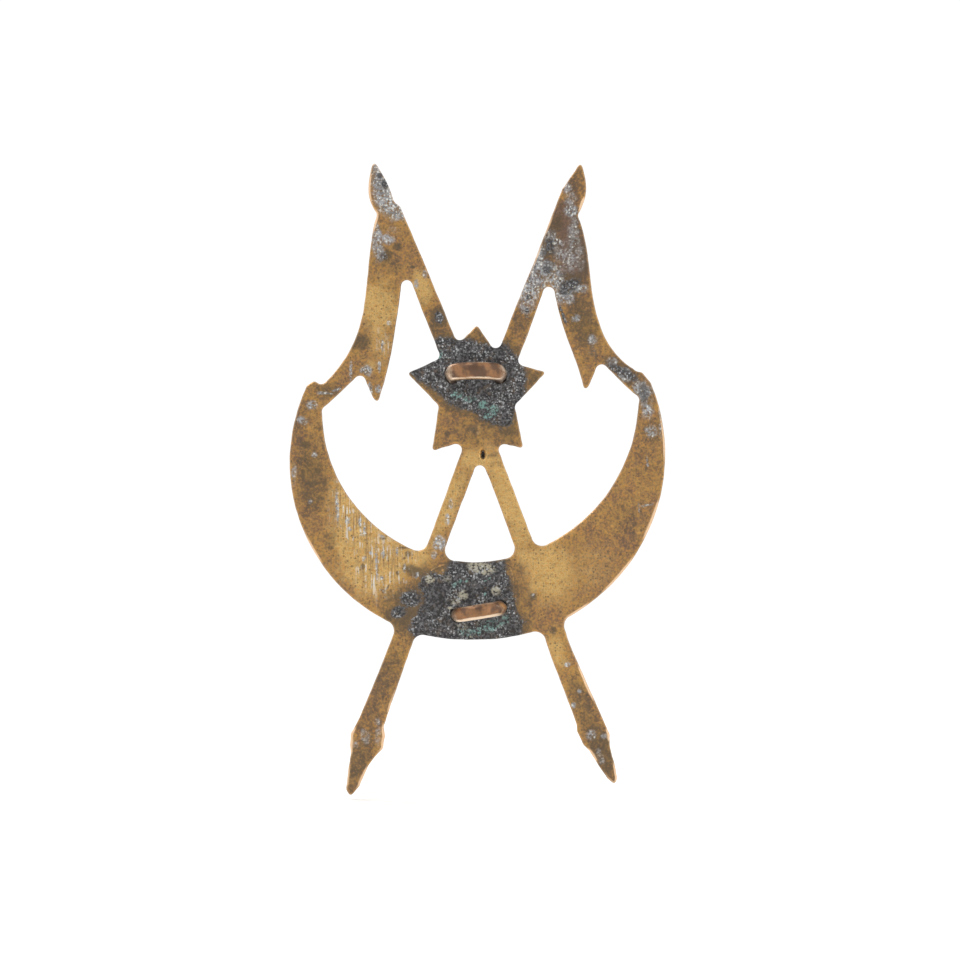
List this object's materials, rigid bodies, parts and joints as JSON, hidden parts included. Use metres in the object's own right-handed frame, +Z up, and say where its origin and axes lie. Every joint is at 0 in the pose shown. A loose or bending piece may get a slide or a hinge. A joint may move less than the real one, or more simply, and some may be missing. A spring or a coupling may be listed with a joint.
{
  "type": "cap badge",
  "caption": "Flat-backed struck badge of crossed lances with pennons, an upturned crescent and a star, with loops brazed to its back for a split pin.",
  "frame": {"origin": "on the badge's back face, midway between its two loops", "axes": "+Z up towards the spear tips, +Y out of the raised front, -Y out of the back towards the cap, +X to the right as seen from the back"},
  "size_m": [0.0315, 0.0067, 0.0531],
  "materials": {
    "badge_brass": "struck brass with a brown tarnish, worn bright at the edges",
    "loop_copper": "flattened copper wire, worn smooth on its crown",
    "solder_bed": "grainy blackened solder and flux, rough"
  },
  "bodies": {
    "root": {"badge_plate": "badge_brass", "upper_loop": "loop_copper", "lower_loop": "loop_copper", "upper_solder_bed": "solder_bed", "lower_solder_bed": "solder_bed"}
  },
  "joints": []
}
